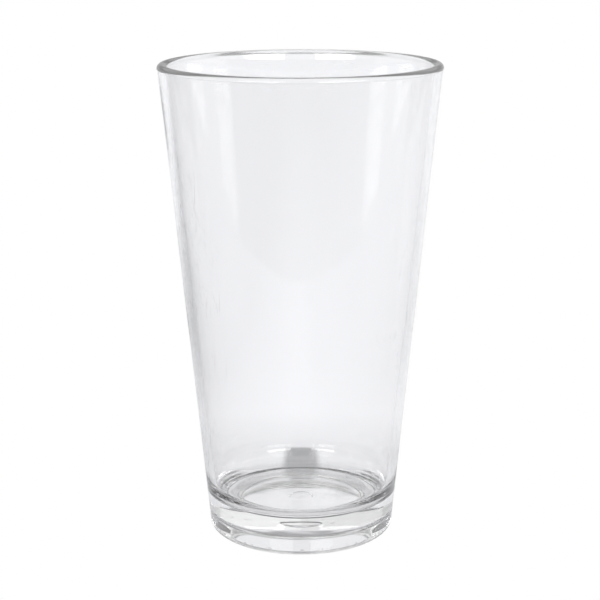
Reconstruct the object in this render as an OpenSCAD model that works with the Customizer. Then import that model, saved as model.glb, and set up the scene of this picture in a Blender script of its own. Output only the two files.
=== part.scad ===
// Bar mixing glass, pint size: one clear tumbler moulded in a single piece.
// A straight cone on a thick base, with a rounded lip and a hollow under the foot.
// Millimetres, +Z up, origin at the centre of the foot, on the table.

/* [Body] */
// Overall height
height = 149; // [130:1:170]
// Outside diameter just under the lip
mouth_d = 87.2; // [80:0.2:96]
// Outside diameter that the cone would have at the table, before the heel is rounded
base_d = 58; // [54:0.2:66]
// Wall thickness, measured level
wall = 2.9; // [2:0.1:4]

/* [Lip] */
// How far the lip stands out past the wall at the mould's parting line
lip_step = 0.2; // [0.1:0.05:0.5]

/* [Base] */
// Height of the inside floor above the table
floor_z = 11.3; // [10:0.1:20]
// Radius between the inside floor and the wall
floor_r = 7; // [2:0.5:9]
// Radius of the outside heel
heel_r = 2.7; // [1:0.1:4]

/* [Foot] */
// Diameter of the hollow under the foot, where it meets the foot ring
hollow_d = 42.8; // [30:0.2:44]
// Depth of the hollow
hollow_h = 5; // [2:0.1:6]
// How much smaller the hollow's radius is at its roof, so that it leaves the mould
hollow_draft = 1; // [0.2:0.1:2]
// Radius between the hollow's side and its roof
hollow_r = 1.7; // [0.5:0.1:3]
// Bevel on the foot ring's inner edge
foot_bevel = 0.6; // [0.2:0.1:1]
// Diameter of the gate mark in the middle of the hollow's roof
gate_d = 8; // [3:0.5:12]
// Depth of the gate mark
gate_h = 0.3; // [0.1:0.05:0.6]

/* [Hidden] */
$fn = 128;
over = 1;                                      // overshoot of the cutting shapes
lean = (mouth_d - base_d) / (2 * height);      // growth of the radius per millimetre of height
lip_r = (wall + lip_step) / 2;
parting_z = height - lip_r;

// Outside radius of the cone at height z
function outside(z) = base_d / 2 + lean * z;
// Inside radius of the wall at height z
function inside(z) = outside(z) - wall;
// Unit vector from point a towards point b
function heading(a, b) = (b - a) / norm(b - a);
// Cosine of half the angle of the corner at b, between a and c
function half_cos(a, b, c) = sqrt((1 + heading(b, a) * heading(b, c)) / 2);
// Distance from the corner at b to where a round of radius r leaves its sides
function run_off(a, b, c, r) = r * half_cos(a, b, c) / sqrt(1 - pow(half_cos(a, b, c), 2));
// Centre of the round of radius r that fills the corner at b
function round_centre(a, b, c, r) =
    b + (heading(b, a) + heading(b, c)) * run_off(a, b, c, r) / (1 + heading(b, a) * heading(b, c));

// Closed outline through four points, with its second corner rounded
module outline(a, b, c, d, r) {
    cut = run_off(a, b, c, r);
    polygon([a, b + heading(b, a) * cut, b + heading(b, c) * cut, c, d]);
    translate(round_centre(a, b, c, r)) circle(r);
}

// Half section of the cone up to the parting line, with the rounded heel
module cone_section() {
    outline([0, 0], [base_d / 2, 0], [outside(parting_z), parting_z], [0, parting_z], heel_r);
}

// Half section of the drinking space, with the rounded floor
module cavity_section() {
    top = parting_z + over;
    outline([0, floor_z], [inside(floor_z), floor_z], [inside(top), top], [0, top], floor_r);
}

// Half section of the hollow under the foot, with its bevel and the gate mark
module hollow_section() {
    side = hollow_d / 2;
    roof = side - hollow_draft;
    outline([0, hollow_h], [roof, hollow_h], [side, 0], [0, 0], hollow_r);
    polygon([
        [0, -over],
        [side + foot_bevel, -over],
        [side + foot_bevel, 0],
        [side, foot_bevel],
        [0, foot_bevel]
    ]);
    translate([0, hollow_h - over]) square([gate_d / 2, over + gate_h]);
}

// Half section of the lip: the upper half of a round that overhangs the wall by the step
module lip_section() {
    translate([inside(parting_z) + lip_r, parting_z]) intersection() {
        circle(lip_r);
        translate([-lip_r, 0]) square([2 * lip_r, lip_r]);
    }
}

// The whole glass: clear plastic, in one piece
module tumbler() {
    color("#e6e8ec", 0.35) rotate_extrude() {
        difference() {
            cone_section();
            cavity_section();
            hollow_section();
        }
        lip_section();
    }
}

tumbler();
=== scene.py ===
"""Studio scene of a clear plastic mixing glass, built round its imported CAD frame.

Every length is in metres unless a name ends in _mm, and the frame's axes hold: +Z up, the glass's
own axis on x = y = 0, and its foot on the table at z = 0.
"""

from __future__ import annotations

import logging
import math
from dataclasses import dataclass, field, replace
from enum import Enum
from typing import Any, Sequence, Union

import bmesh
import bpy
from mathutils import Matrix, Vector, noise


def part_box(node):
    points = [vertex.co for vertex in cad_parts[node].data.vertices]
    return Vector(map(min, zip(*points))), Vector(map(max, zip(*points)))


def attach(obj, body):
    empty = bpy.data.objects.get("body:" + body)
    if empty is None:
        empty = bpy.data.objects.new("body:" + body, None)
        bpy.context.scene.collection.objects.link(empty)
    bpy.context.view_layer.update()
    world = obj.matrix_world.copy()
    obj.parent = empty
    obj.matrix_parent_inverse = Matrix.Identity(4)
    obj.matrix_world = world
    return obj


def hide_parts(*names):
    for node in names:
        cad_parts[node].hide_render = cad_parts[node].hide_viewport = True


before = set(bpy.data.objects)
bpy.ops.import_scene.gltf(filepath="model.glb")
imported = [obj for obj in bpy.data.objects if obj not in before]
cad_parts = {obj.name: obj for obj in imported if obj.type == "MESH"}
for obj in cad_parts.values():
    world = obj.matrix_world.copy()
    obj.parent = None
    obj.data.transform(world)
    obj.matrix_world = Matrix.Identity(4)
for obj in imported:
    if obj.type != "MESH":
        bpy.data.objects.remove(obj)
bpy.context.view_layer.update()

MM = 0.001
NODE = "tumbler"
BODY = "root"
ON_AXIS = 1e-9
LEFT_LIGHT = 0.85
FEWEST_ARC_STEPS = 3
MIX_FACTOR, MIX_FIRST, MIX_SECOND, MIX_RESULT = 0, 6, 7, 2  # the Mix node's colour sockets

log = logging.getLogger("mixing_glass")


# --------------------------------------------------------------------------- shader expressions


@dataclass(frozen=True)
class Edge:
    """Where a mask is half way, and the width over which it changes."""

    place: float
    fade: float


@dataclass(frozen=True)
class Grain:
    """How a noise looks: features per unit of position, octaves of finer noise, their strength."""

    scale: float
    detail: float = 0.0
    roughness: float = 0.0


class Value:
    """A number socket of a shader, with Python's operators adding Math nodes."""

    def __init__(self, tree: "ShaderTree", socket: bpy.types.NodeSocket) -> None:
        """Wraps a socket.

        Args:
            tree: The tree that the socket belongs to.
            socket: The output socket to wrap.
        """
        self.tree = tree
        self.socket = socket

    def _math(self, operation: str, *others: Operand, clamp: bool = False) -> "Value":
        """Adds a Math node with this value first.

        Args:
            operation: The Math node's operation.
            others: The other inputs, numbers or values.
            clamp: True to keep the result between 0 and 1.

        Returns:
            The node's result.
        """
        return self.tree.math(operation, self, *others, clamp=clamp)

    def __add__(self, other: Operand) -> "Value":
        """Sum of two values."""
        return self._math("ADD", other)

    __radd__ = __add__

    def __sub__(self, other: Operand) -> "Value":
        """Difference of two values."""
        return self._math("SUBTRACT", other)

    def __rsub__(self, other: Operand) -> "Value":
        """A number less this value."""
        return self.tree.math("SUBTRACT", other, self)

    def __mul__(self, other: Operand) -> "Value":
        """Product of two values."""
        return self._math("MULTIPLY", other)

    __rmul__ = __mul__

    def __truediv__(self, other: Operand) -> "Value":
        """Quotient of two values."""
        return self._math("DIVIDE", other)

    def __rtruediv__(self, other: Operand) -> "Value":
        """A number over this value."""
        return self.tree.math("DIVIDE", other, self)

    def above(self, edge: Edge) -> "Value":
        """Mask that rises from 0 to 1 as the value passes an edge."""
        return ((self - (edge.place - edge.fade / 2)) / edge.fade).clamped()

    def below(self, edge: Edge) -> "Value":
        """Mask that falls from 1 to 0 as the value passes an edge."""
        return 1 - self.above(edge)

    def clamped(self) -> "Value":
        """This value kept between 0 and 1."""
        return self._math("ADD", 0.0, clamp=True)

    def most(self, other: Operand) -> "Value":
        """The larger of two values."""
        return self._math("MAXIMUM", other)


Operand = Union[Value, float]


class ShaderTree:
    """A node tree that is being written, with one method for nodes and a few for expressions."""

    def __init__(self, tree: bpy.types.NodeTree) -> None:
        """Empties a node tree and keeps it.

        Args:
            tree: The tree of a material or a world.
        """
        tree.nodes.clear()
        self.tree = tree

    def node(
        self, kind: str, settings: dict[str, Any] | None = None, inputs: dict[Any, Any] | None = None
    ) -> bpy.types.Node:
        """Adds a node.

        Args:
            kind: The node's type, such as ShaderNodeTexNoise.
            settings: The node's own settings, set before its sockets.
            inputs: Numbers, colours, vectors, sockets or values, by socket name or number.

        Returns:
            The new node.
        """
        made = self.tree.nodes.new(kind)
        for name, setting in (settings or {}).items():
            setattr(made, name, setting)
        for name, given in (inputs or {}).items():
            source = given.socket if isinstance(given, Value) else given
            if isinstance(source, bpy.types.NodeSocket):
                self.tree.links.new(source, made.inputs[name])
            else:
                made.inputs[name].default_value = source
        return made

    def value(self, kind: str, output: str, settings: dict[str, Any], inputs: dict[Any, Any]) -> Value:
        """Adds a node and wraps one of its outputs.

        Args:
            kind: The node's type.
            output: Name of the output to wrap.
            settings: The node's own settings.
            inputs: Its sockets' values or links.

        Returns:
            The wrapped output.
        """
        return Value(self, self.node(kind, settings, inputs).outputs[output])

    def math(self, operation: str, *operands: Operand, clamp: bool = False) -> Value:
        """Adds a Math node.

        Args:
            operation: The node's operation.
            operands: Its inputs, numbers or values.
            clamp: True to keep the result between 0 and 1.

        Returns:
            The node's result.
        """
        settings = {"operation": operation, "use_clamp": clamp}
        return self.value("ShaderNodeMath", "Value", settings, dict(enumerate(operands)))

    def object_position(self) -> bpy.types.NodeSocket:
        """Position on the piece, in metres, as a vector socket."""
        return self.node("ShaderNodeTexCoord").outputs["Object"]

    def stretched(self, position: bpy.types.NodeSocket, scale: Sequence[float]) -> bpy.types.NodeSocket:
        """Position multiplied along each axis.

        Args:
            position: The vector to stretch.
            scale: Factor along X, Y and Z.

        Returns:
            The stretched vector.
        """
        settings = {"operation": "MULTIPLY"}
        return self.node("ShaderNodeVectorMath", settings, {0: position, 1: tuple(scale)}).outputs["Vector"]

    def noise(self, position: bpy.types.NodeSocket, grain: Grain) -> Value:
        """Cloudy noise from 0 to 1.

        Args:
            position: Where to read the noise.
            grain: How coarse it is.

        Returns:
            The noise.
        """
        inputs = {"Scale": grain.scale, "Detail": grain.detail, "Roughness": grain.roughness}
        inputs["Vector"] = position
        return self.value("ShaderNodeTexNoise", "Fac", {"noise_dimensions": "3D"}, inputs)

    def mixed_colour(
        self, factor: Operand, first: Sequence[float], second: Sequence[float]
    ) -> bpy.types.NodeSocket:
        """Blend of two colours.

        Args:
            factor: 0 for the first colour, 1 for the second.
            first: First colour, red, green and blue.
            second: Second colour, red, green and blue.

        Returns:
            The blended colour's socket.
        """
        ends = {MIX_FACTOR: factor, MIX_FIRST: (*first, 1.0), MIX_SECOND: (*second, 1.0)}
        return self.node("ShaderNodeMix", {"data_type": "RGBA"}, ends).outputs[MIX_RESULT]

    def scaled_colour(self, colour: Sequence[float], tone: Value) -> bpy.types.NodeSocket:
        """A colour made lighter or darker.

        Args:
            colour: Red, green and blue.
            tone: What to multiply all three by.

        Returns:
            The scaled colour's socket.
        """
        inputs = {0: tuple(colour), "Scale": tone}
        return self.node("ShaderNodeVectorMath", {"operation": "SCALE"}, inputs).outputs["Vector"]


# --------------------------------------------------------------------------------------- finishes


@dataclass(frozen=True)
class ClearPlastic:
    """Water-clear moulded plastic, polished, with a satin lip, scuffs, hairlines and specks."""

    ior: float = 1.57
    haze: float = 0.012
    scuffed: float = 0.28
    lip_satin: float = 0.12
    lip_haze: float = 0.19
    lip_depth_mm: float = 1.6
    lip_fade_mm: float = 0.5
    clear: tuple[float, float, float] = (1.0, 1.0, 1.0)
    depth_tint: tuple[float, float, float] = (0.93, 0.95, 1.0)
    depth_density: float = 1.6
    scratch_runs: tuple[tuple[float, float], ...] = ((0.12, 0.05), (-0.2, 0.045), (1.45, 0.06))
    scratch_spread_mm: float = 31.0
    scratch_grain: Grain = Grain(1.3)
    scratch_edge: Edge = Edge(0.8, 0.02)
    scratch_depth_mm: float = 0.01
    worn_grain: Grain = Grain(0.035, 1.0, 0.5)
    worn_edge: Edge = Edge(0.5, 0.12)
    foot_edge_mm: Edge = Edge(0.9, 0.5)
    scuff_grain: Grain = Grain(0.9, 3.0, 0.65)
    scuff_edge: Edge = Edge(0.58, 0.05)
    scuff_depth_mm: float = 0.02
    speck: tuple[float, float, float] = (0.32, 0.3, 0.29)
    speck_spacing_mm: float = 7.0
    speck_radius_mm: float = 0.14
    least_speck_mm: float = 0.05
    speck_chance: Edge = Edge(0.62, 0.01)
    speck_rim: Edge = Edge(1.0, 0.5)
    flow_stretch: tuple[float, float, float] = (1.0, 1.0, 0.22)
    flow_grain: Grain = Grain(0.11, 1.0, 0.4)
    flow_depth_mm: float = 0.05

    def build(self) -> bpy.types.Material:
        """Makes the material.

        Returns:
            The plastic's material.
        """
        material = bpy.data.materials.new("clear_plastic")
        material.use_nodes = True
        tree = ShaderTree(material.node_tree)
        position = tree.stretched(tree.object_position(), (1 / MM, 1 / MM, 1 / MM))
        height = Value(tree, tree.node("ShaderNodeSeparateXYZ", inputs={"Vector": position}).outputs["Z"])
        scratches = self.scratches(tree, position)
        foot_wear = self.foot_wear(tree, position, height)
        specks = self.specks(tree, position)
        lip = height.above(Edge(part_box(NODE)[1].z / MM - self.lip_depth_mm, self.lip_fade_mm))
        surface = tree.node(
            "ShaderNodeBsdfPrincipled",
            {"distribution": "MULTI_GGX"},
            {
                "Base Color": tree.mixed_colour(specks.most(foot_wear), self.clear, self.speck),
                "Roughness": foot_wear * self.scuffed + lip * self.lip_satin,
                "IOR": self.ior,
                "Transmission Weight": 1.0 - self.haze,
                "Normal": self.bump(tree, scratches, foot_wear, position),
            },
        )
        scattered = tree.node("ShaderNodeBsdfDiffuse", inputs={"Color": (*self.clear, 1.0)})
        ends = {0: lip * self.lip_haze, 1: surface.outputs["BSDF"], 2: scattered.outputs["BSDF"]}
        hazed = tree.node("ShaderNodeMixShader", inputs=ends)
        depth = tree.node(
            "ShaderNodeVolumeAbsorption",
            inputs={"Color": (*self.depth_tint, 1.0), "Density": self.depth_density},
        )
        tree.node(
            "ShaderNodeOutputMaterial",
            inputs={"Surface": hazed.outputs["Shader"], "Volume": depth.outputs["Volume"]},
        )
        return material

    def scratches(self, tree: ShaderTree, position: bpy.types.NodeSocket) -> Value:
        """Hairlines left by stacking and wiping: short, thin, and mostly along the wall.

        Args:
            tree: The tree to write in.
            position: Position in millimetres.

        Returns:
            Mask of the hairlines.
        """
        found: Operand = 0.0
        for index, (turn, stretch) in enumerate(self.scratch_runs):
            centre = (0.0, 0.0, self.scratch_spread_mm * index)
            inputs = {"Vector": position, "Angle": turn, "Center": centre}
            turned = tree.node("ShaderNodeVectorRotate", {"rotation_type": "X_AXIS"}, inputs)
            drawn = tree.stretched(turned.outputs["Vector"], (1.0, 1.0, stretch))
            found = tree.noise(drawn, self.scratch_grain).above(self.scratch_edge).most(found)
        return found * tree.noise(position, self.worn_grain).above(self.worn_edge)

    def foot_wear(self, tree: ShaderTree, position: bpy.types.NodeSocket, height: Value) -> Value:
        """Scuffing on the ring that the glass slides about on.

        Args:
            tree: The tree to write in.
            position: Position in millimetres.
            height: Height in millimetres.

        Returns:
            Mask of the scuffs.
        """
        patches = tree.noise(position, self.scuff_grain).above(self.scuff_edge)
        return height.below(self.foot_edge_mm) * patches

    def specks(self, tree: ShaderTree, position: bpy.types.NodeSocket) -> Value:
        """Dark specks moulded into the plastic, one in a few cells of a scattered grid.

        Args:
            tree: The tree to write in.
            position: Position in millimetres.

        Returns:
            Mask of the specks.
        """
        inputs = {"Vector": position, "Scale": 1 / self.speck_spacing_mm, "Randomness": 1.0}
        cells = tree.node("ShaderNodeTexVoronoi", {"feature": "F1"}, inputs)
        distance = Value(tree, cells.outputs["Distance"]) * self.speck_spacing_mm
        chosen = tree.node("ShaderNodeSeparateColor", inputs={"Color": cells.outputs["Color"]})
        present = Value(tree, chosen.outputs["Red"]).above(self.speck_chance)
        size = Value(tree, chosen.outputs["Green"]) * self.speck_radius_mm + self.least_speck_mm
        return (distance / size).below(self.speck_rim) * present

    def bump(
        self, tree: ShaderTree, scratches: Value, wear: Value, position: bpy.types.NodeSocket
    ) -> bpy.types.NodeSocket:
        """Surface relief of the scratches, the scuffs and the mould's own faint waviness.

        Args:
            tree: The tree to write in.
            scratches: Mask of the hairlines.
            wear: Mask of the foot's scuffs.
            position: Position in millimetres.

        Returns:
            The bumped normal.
        """
        flow = tree.noise(tree.stretched(position, self.flow_stretch), self.flow_grain)
        relief = flow * self.flow_depth_mm - scratches * self.scratch_depth_mm - wear * self.scuff_depth_mm
        inputs = {"Height": relief, "Distance": MM, "Strength": 1.0}
        return tree.node("ShaderNodeBump", inputs=inputs).outputs["Normal"]


@dataclass(frozen=True)
class PlainGlow:
    """An even surface that gives off its own pale or dark tone, for the floor and the cards."""

    name: str
    tone: tuple[float, float, float]
    strength: float = 1.0

    def build(self) -> bpy.types.Material:
        """Makes the material.

        Returns:
            The surface's material.
        """
        material = bpy.data.materials.new(self.name)
        material.use_nodes = True
        material.cycles.emission_sampling = "NONE"
        tree = ShaderTree(material.node_tree)
        glow = tree.node(
            "ShaderNodeEmission", inputs={"Color": (*self.tone, 1.0), "Strength": self.strength}
        )
        tree.node("ShaderNodeOutputMaterial", inputs={"Surface": glow.outputs["Emission"]})
        return material


# --------------------------------------------------------------------------------- half outlines


@dataclass(frozen=True)
class Corner:
    """A corner of a half outline: radius from the axis, height, and how far it is rounded."""

    r: float
    z: float
    rounding: float = 0.0

    @property
    def at(self) -> Vector:
        """The corner's place in the plane of the outline."""
        return Vector((self.r, self.z))


@dataclass
class Outline:
    """A half outline that is turned about the glass's axis: straight runs and rounded corners."""

    corners: list[Corner]
    longest_run: float = 2.0 * MM
    arc_turn: float = math.radians(7.5)

    def points(self) -> list[Vector]:
        """Works out the outline's points, close together on rounds and even on straight runs.

        Returns:
            Points from the first corner to the last.
        """
        found = [self.corners[0].at]
        for before, corner, after in zip(self.corners, self.corners[1:], self.corners[2:]):
            arc = self.arc(before.at, corner, after.at)
            found += self.run(found[-1], arc[0]) + arc[1:]
        return found + self.run(found[-1], self.corners[-1].at)

    def run(self, start: Vector, end: Vector) -> list[Vector]:
        """Divides a straight run.

        Args:
            start: Where the run starts. It isn't repeated.
            end: Where the run ends.

        Returns:
            The run's points after its start.
        """
        steps = max(1, math.ceil((end - start).length / self.longest_run))
        return [start.lerp(end, step / steps) for step in range(1, steps + 1)]

    def arc(self, before: Vector, corner: Corner, after: Vector) -> list[Vector]:
        """Rounds a corner.

        Args:
            before: The place that the outline comes from.
            corner: The corner to round.
            after: The place that the outline goes to.

        Returns:
            The arc's points, or the corner itself if it is sharp.
        """
        if corner.rounding == 0.0:
            return [corner.at]
        back = (before - corner.at).normalized()
        ahead = (after - corner.at).normalized()
        half = back.angle(ahead) / 2
        centre = corner.at + (back + ahead).normalized() * corner.rounding / math.sin(half)
        first = corner.at + back * corner.rounding / math.tan(half) - centre
        last = corner.at + ahead * corner.rounding / math.tan(half) - centre
        turn = -first.angle_signed(last)
        steps = max(FEWEST_ARC_STEPS, math.ceil(abs(turn) / self.arc_turn))
        return [centre + Matrix.Rotation(turn * step / steps, 2) @ first for step in range(steps + 1)]


# ------------------------------------------------------------------------------------ the tumbler


@dataclass
class Tumbler:
    """The glass: one moulding with a straight cone, a rounded lip and a hollow under its foot."""

    wall: float = 2.9 * MM
    lip_step: float = 0.2 * MM
    base_radius: float = 29.0 * MM
    mouth_radius: float = 43.6 * MM
    floor_height: float = 11.3 * MM
    floor_rounding: float = 7.0 * MM
    heel_rounding: float = 2.7 * MM
    hollow_radius: float = 21.4 * MM
    hollow_depth: float = 5.0 * MM
    hollow_draft: float = 1.0 * MM
    hollow_rounding: float = 1.7 * MM
    foot_edge: float = 0.6 * MM
    gate_radius: float = 4.0 * MM
    gate_depth: float = 0.3 * MM
    gate_slope: float = 0.6 * MM
    gate_rounding: float = 0.8 * MM
    foot_rounding: float = 0.3 * MM
    tool_edge: float = 0.06 * MM
    segments: int = 360
    ripple: float = 0.025 * MM
    ripple_turns: float = 1.6
    ripple_length: float = 60.0 * MM
    finish: ClearPlastic = field(default_factory=ClearPlastic)

    def __post_init__(self) -> None:
        """Takes the height and the lip's width from the frame."""
        low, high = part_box(NODE)
        self.height = high.z - low.z
        self.lip_radius = high.x
        self.lean = (self.mouth_radius - self.base_radius) / self.height
        self.lip_rounding = (self.wall + self.lip_step) / 2
        self.parting = self.height - self.lip_rounding

    def outside(self, z: float) -> float:
        """Outside radius of the cone at a height."""
        return self.base_radius + self.lean * z

    def inside(self, z: float) -> float:
        """Inside radius of the wall at a height."""
        return self.outside(z) - self.wall

    def underside(self) -> list[Corner]:
        """Lists the underside's corners.

        Returns:
            Corners from the middle of the gate mark to the heel.
        """
        roof = self.hollow_depth
        mark = roof + self.gate_depth
        return [
            Corner(0.0, mark),
            Corner(self.gate_radius - self.gate_slope, mark, self.gate_rounding),
            Corner(self.gate_radius, roof, self.gate_rounding),
            Corner(self.hollow_radius - self.hollow_draft, roof, self.hollow_rounding),
            Corner(self.hollow_radius, self.foot_edge, self.foot_rounding),
            Corner(self.hollow_radius + self.foot_edge, 0.0, self.foot_rounding),
            Corner(self.base_radius, 0.0, self.heel_rounding),
        ]

    def upper(self) -> list[Corner]:
        """Lists the corners of the wall, the lip and the inside.

        Returns:
            Corners from the parting line, over the lip and down to the middle of the floor.
        """
        edge = self.tool_edge
        round_lip = self.lip_rounding - 2 * edge
        return [
            Corner(self.outside(self.parting), self.parting, edge),
            Corner(self.lip_radius, self.parting, edge),
            Corner(self.lip_radius, self.height, round_lip),
            Corner(self.inside(self.height), self.height, round_lip),
            Corner(self.inside(self.floor_height), self.floor_height, self.floor_rounding),
            Corner(0.0, self.floor_height),
        ]

    def wander(self, angle: float, z: float) -> float:
        """How far the moulded wall strays from a true cone.

        Args:
            angle: Angle round the axis.
            z: Height.

        Returns:
            Offset along the radius, in metres. It is 0 at the foot and at the lip.
        """
        across, back = math.cos(angle) * self.ripple_turns, math.sin(angle) * self.ripple_turns
        around = Vector((across, back, z / self.ripple_length))
        fade = math.sin(math.pi * min(max(z / self.height, 0.0), 1.0))
        return -abs(noise.noise(around)) * self.ripple * fade

    def build(self) -> bpy.types.Object:
        """Turns the half outline about the axis.

        Returns:
            The glass, riding on the CAD body and standing for its node.
        """
        outline = Outline(self.underside() + self.upper()).points()
        mesh = bmesh.new()
        rings = []
        for point in outline:
            if point.x < ON_AXIS:
                rings.append([mesh.verts.new((0.0, 0.0, point.y))])
                continue
            ring = []
            for step in range(self.segments):
                angle = math.tau * step / self.segments
                radius = point.x + self.wander(angle, point.y)
                ring.append(mesh.verts.new((radius * math.cos(angle), radius * math.sin(angle), point.y)))
            rings.append(ring)
        for lower, upper in zip(rings, rings[1:]):
            self.join(mesh, lower, upper)
        bmesh.ops.recalc_face_normals(mesh, faces=mesh.faces)
        data = bpy.data.meshes.new("mixing_glass_tumbler")
        mesh.to_mesh(data)
        mesh.free()
        data.shade_smooth()
        glass = bpy.data.objects.new("mixing_glass_tumbler", data)
        bpy.context.scene.collection.objects.link(glass)
        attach(glass, BODY)
        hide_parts(NODE)
        return glass

    def join(self, mesh: bmesh.types.BMesh, first: list, second: list) -> None:
        """Fills the band between two rings, or the fan between a ring and a point on the axis.

        Args:
            mesh: The mesh that is being built.
            first: Vertices of the first ring, or its one point.
            second: Vertices of the second ring, or its one point.
        """
        for step in range(self.segments):
            following = (step + 1) % self.segments
            loop = [first[step % len(first)], first[following % len(first)]]
            loop += [second[following % len(second)], second[step % len(second)]]
            mesh.faces.new(list(dict.fromkeys(loop)))

    def dress(self, glass: bpy.types.Object) -> None:
        """Gives the glass its plastic.

        Args:
            glass: The glass's object.
        """
        glass.data.materials.append(self.finish.build())


# ------------------------------------------------------------------------------------- the studio


class Side(Enum):
    """Which side of the camera something stands on, as seen from the camera."""

    LEFT = -1
    RIGHT = 1

    @property
    def light(self) -> float:
        """How bright the room is on this side."""
        return LEFT_LIGHT if self is Side.LEFT else 1.0


@dataclass(frozen=True)
class TableGlow:
    """What the glass sees of the table: pale, and shaded under the foot, behind it and far away.

    A shade is the share of the light that it takes. Edges are in millimetres from the glass's axis.
    """

    name: str
    left_shade: float
    right_shade: float
    front_shade: float
    tint: tuple[float, float, float] = (0.97, 0.974, 1.0)
    pale: float = 0.985
    hollow_shade: float = 0.12
    hollow_edge: Edge = Edge(21.4, 1.0)
    foot_shade: float = 0.26
    foot_edge: Edge = Edge(33.0, 12.0)
    strip_shade: float = 0.56
    strip_side: Edge = Edge(5.8, 2.5)
    strip_start: Edge = Edge(15.0, 10.0)
    strip_end: Edge = Edge(66.0, 6.0)
    halo_shade: float = 0.14
    halo_start: Edge = Edge(15.0, 20.0)
    halo_end: Edge = Edge(100.0, 40.0)
    left_edge: Edge = Edge(0.0, 100.0)
    side_start: Edge = Edge(90.0, 120.0)
    side_slant: float = 0.7
    side_end: Edge = Edge(150.0, 200.0)
    front_start: Edge = Edge(-330.0, 260.0)
    front_ease: float = 0.3
    front_end: Edge = Edge(-650.0, 300.0)

    def build(self) -> bpy.types.Material:
        """Makes the material.

        Returns:
            The table's material.
        """
        material = bpy.data.materials.new(self.name)
        material.use_nodes = True
        material.cycles.emission_sampling = "NONE"
        tree = ShaderTree(material.node_tree)
        place = tree.stretched(tree.object_position(), (1 / MM, 1 / MM, 1 / MM))
        apart = tree.node("ShaderNodeSeparateXYZ", inputs={"Vector": place})
        across, back = Value(tree, apart.outputs["X"]), Value(tree, apart.outputs["Y"])
        reach = tree.value("ShaderNodeVectorMath", "Value", {"operation": "LENGTH"}, {0: place})
        aside = tree.math("ABSOLUTE", across)
        hollow = reach.below(self.hollow_edge)
        open_table = 1 - hollow
        foot = reach.below(self.foot_edge) * open_table
        strip = aside.below(self.strip_side) * back.above(self.strip_start)
        strip = strip * reach.below(self.strip_end) * open_table
        halo = back.above(self.halo_start) * reach.below(self.halo_end) * open_table
        beside = aside.above(self.side_start) * (back - aside * self.side_slant).below(self.side_end)
        left = beside * across.below(self.left_edge)
        right = beside * across.above(self.left_edge)
        front = back.below(self.front_start) * (1 - back.below(self.front_end) * self.front_ease)
        tone = self.pale * (1 - strip * self.strip_shade) * (1 - halo * self.halo_shade)
        tone = tone * (1 - foot * self.foot_shade) * (1 - hollow * self.hollow_shade)
        tone = tone * (1 - left * self.left_shade) * (1 - right * self.right_shade)
        tone = tone * (1 - front * self.front_shade)
        glow = tree.node("ShaderNodeEmission", inputs={"Color": tree.scaled_colour(self.tint, tone)})
        tree.node("ShaderNodeOutputMaterial", inputs={"Surface": glow.outputs["Emission"]})
        return material


@dataclass(frozen=True)
class Card:
    """A plain card bent round the glass, which mirrors and bends it. The camera doesn't see it."""

    name: str
    tone: float
    turn: tuple[float, float]
    rise: tuple[float, float]
    distance: float = 2.0
    step: float = 5.0

    def build(self) -> bpy.types.Object:
        """Makes the card.

        Returns:
            The card, hidden from the camera.
        """
        turns = self.divided(self.turn)
        rises = self.divided(self.rise)
        points = [heading(turn, rise) * self.distance for rise in rises for turn in turns]
        width = len(turns)
        faces = [
            (low + k, low + k + 1, low + k + 1 + width, low + k + width)
            for low in range(0, width * (len(rises) - 1), width)
            for k in range(width - 1)
        ]
        card = stage_mesh(self.name, points, faces)
        card.data.materials.append(PlainGlow(self.name, (1.0, 1.0, 1.0), self.tone).build())
        hide_from_camera(card)
        return card

    def on(self, side: Side) -> "Card":
        """This card on one side of the camera, lit as that side is.

        Args:
            side: Which side it stands on.

        Returns:
            The side's own card.
        """
        first, last = sorted(side.value * angle for angle in self.turn)
        name = f"{self.name}_{side.name.lower()}"
        return replace(self, name=name, tone=self.tone * side.light, turn=(first, last))

    def divided(self, ends: tuple[float, float]) -> list[float]:
        """Divides an angle into steps small enough to look round.

        Args:
            ends: The angle's two ends, in degrees.

        Returns:
            The angles from one end to the other.
        """
        steps = max(1, math.ceil((ends[1] - ends[0]) / self.step))
        return [ends[0] + (ends[1] - ends[0]) * k / steps for k in range(steps + 1)]


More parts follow.
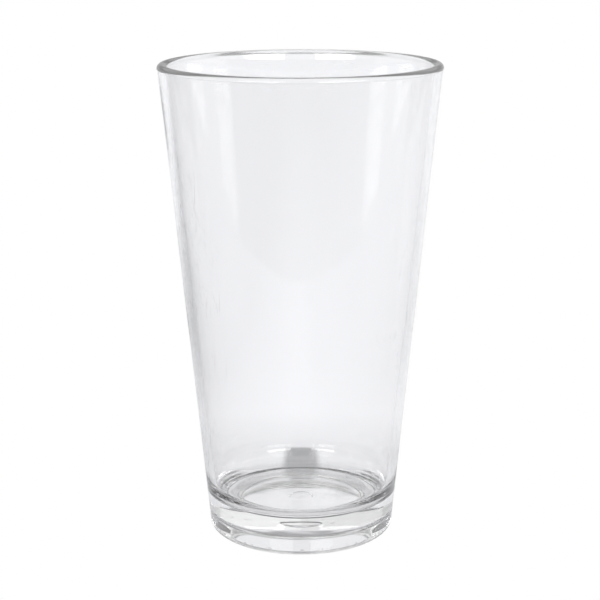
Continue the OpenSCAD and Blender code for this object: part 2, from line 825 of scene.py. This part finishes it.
@dataclass
class Studio:
    """The table, the soft lamps, the cards round the glass, and the camera."""

    floor_reach: float = 6.0
    floor_drop: float = 0.1 * MM
    white: tuple[float, float, float] = (1.0, 1.0, 1.0)
    camera_distance: float = 0.508
    camera_height: float = 0.20062
    camera_pitch: float = math.radians(13.94)
    camera_roll: float = -0.00213
    camera_shift: float = -0.00128
    focal_length_mm: float = 99.72
    sensor_width_mm: float = 36.0
    near_clip: float = 0.01
    light_steps: int = 40
    mirror_steps: int = 5

    def build(self) -> None:
        """Sets up the whole studio."""
        self.light_room()
        self.lay_floor()
        for card in self.cards():
            card.build()
        self.set_camera()
        self.follow_light()

    def follow_light(self) -> None:
        """Follows light long enough inside the clear walls, and shows white as white."""
        scene = bpy.context.scene
        scene.cycles.max_bounces = self.light_steps
        scene.cycles.transmission_bounces = self.light_steps
        scene.cycles.glossy_bounces = self.mirror_steps
        scene.view_settings.view_transform = "Standard"

    def light_room(self) -> None:
        """Fills the room with even white light."""
        world = bpy.data.worlds.new("white_room")
        world.use_nodes = True
        tree = ShaderTree(world.node_tree)
        light = tree.node("ShaderNodeBackground", inputs={"Color": (*self.white, 1.0), "Strength": 1.0})
        tree.node("ShaderNodeOutputWorld", inputs={"Surface": light.outputs["Background"]})
        bpy.context.scene.world = world

    def lay_floor(self) -> None:
        """Lays the pale table just under the foot, and the shaded ones that the glass sees."""
        reach = self.floor_reach
        faces = [(0, 1, 2, 3)]
        low = -self.floor_drop
        corners = [Vector((-reach, -reach, low)), Vector((reach, -reach, low))]
        corners += [Vector((reach, reach, low)), Vector((-reach, reach, low))]
        floor = stage_mesh("floor", corners, faces)
        floor.data.materials.append(PlainGlow("pale_table", self.white).build())
        floor.visible_transmission = False
        floor.visible_glossy = False
        seen_through = stage_mesh("floor_seen_through", corners, faces)
        mild = TableGlow("table_through", left_shade=0.26, right_shade=0.12, front_shade=0.1)
        seen_through.data.materials.append(mild.build())
        hide_from_camera(seen_through)
        seen_through.visible_glossy = False
        mirrored = stage_mesh("floor_mirrored", corners, faces)
        strong = TableGlow("table_mirrored", left_shade=0.9, right_shade=0.25, front_shade=0.9)
        mirrored.data.materials.append(strong.build())
        hide_from_camera(mirrored)
        mirrored.visible_transmission = False

    def cards(self) -> list[Card]:
        """Lists the room's cards: its lamps, its dark gaps and its walls.

        Returns:
            The cards in the middle, and those on each side.
        """
        middle = [
            Card("card_camera", 0.04, (-14, 14), (22, 56)),
            Card("card_front_top", 0.9, (-70, 70), (56, 75)),
            Card("card_front_low", 0.4, (-70, 70), (0, 10)),
            Card("card_front_band", 0.7, (-14, 14), (10, 22)),
            Card("card_ceiling", 0.84, (-180, 180), (75, 90)),
        ]
        sides = [
            Card("card_lamp", 2.2, (14, 50), (10, 56)),
            Card("card_lamp_core", 8.0, (14, 48), (10.2, 22), distance=1.95),
            Card("card_wing", 0.8, (50, 70), (10, 56)),
            Card("card_wall_low", 0.9, (70, 125), (0, 20)),
            Card("card_wall_mid", 0.7, (70, 125), (20, 56)),
            Card("card_wall_top", 0.3, (70, 125), (56, 75)),
            Card("card_back_low", 0.55, (125, 180), (0, 12)),
            Card("card_back_rise", 0.2, (125, 180), (12, 20)),
            Card("card_back_mid", 0.9, (125, 180), (20, 42)),
            Card("card_back_top", 0.1, (125, 180), (42, 75)),
        ]
        return middle + [card.on(side) for side in Side for card in sides]

    def set_camera(self) -> None:
        """Places the camera in front of the glass, looking slightly down."""
        lens = bpy.data.cameras.new("camera")
        lens.sensor_width = self.sensor_width_mm
        lens.lens = self.focal_length_mm
        lens.shift_x = self.camera_shift
        lens.clip_start = self.near_clip
        camera = bpy.data.objects.new("camera", lens)
        place = Matrix.Translation((0.0, -self.camera_distance, self.camera_height))
        tilt = Matrix.Rotation(math.pi / 2 - self.camera_pitch, 4, "X")
        camera.matrix_world = place @ tilt @ Matrix.Rotation(self.camera_roll, 4, "Z")
        bpy.context.scene.collection.objects.link(camera)
        bpy.context.scene.camera = camera


def heading(turn: float, rise: float) -> Vector:
    """Direction from the glass.

    Args:
        turn: Angle from the camera's side, in degrees, to the right as the camera sees it.
        rise: Angle above the table, in degrees.

    Returns:
        The unit vector.
    """
    away, level = math.radians(turn), math.cos(math.radians(rise))
    return Vector((math.sin(away) * level, -math.cos(away) * level, math.sin(math.radians(rise))))


def hide_from_camera(item: bpy.types.Object) -> None:
    """Leaves something to the glass's reflections and refractions alone."""
    item.visible_camera = False
    item.visible_diffuse = False
    item.visible_shadow = False


def stage_mesh(name: str, points: Sequence[Vector], faces: Sequence[tuple[int, ...]]) -> bpy.types.Object:
    """Makes a mesh that is part of the stage.

    Args:
        name: The mesh's name.
        points: Its vertices.
        faces: Its faces, by vertex number.

    Returns:
        The object.
    """
    data = bpy.data.meshes.new(name)
    data.from_pydata(points, [], faces)
    item = bpy.data.objects.new(name, data)
    bpy.context.scene.collection.objects.link(item)
    return item


def main() -> None:
    """Builds the glass and its studio, and logs the glass's vertex and face counts."""
    logging.basicConfig(level=logging.INFO, format="%(name)s: %(message)s")
    tumbler = Tumbler()
    glass = tumbler.build()
    tumbler.dress(glass)
    log.info("%s: %d vertices, %d faces", glass.name, len(glass.data.vertices), len(glass.data.polygons))
    Studio().build()
    log.info("studio: floor, cards, lamps and camera")


if __name__ == "__main__":
    main()
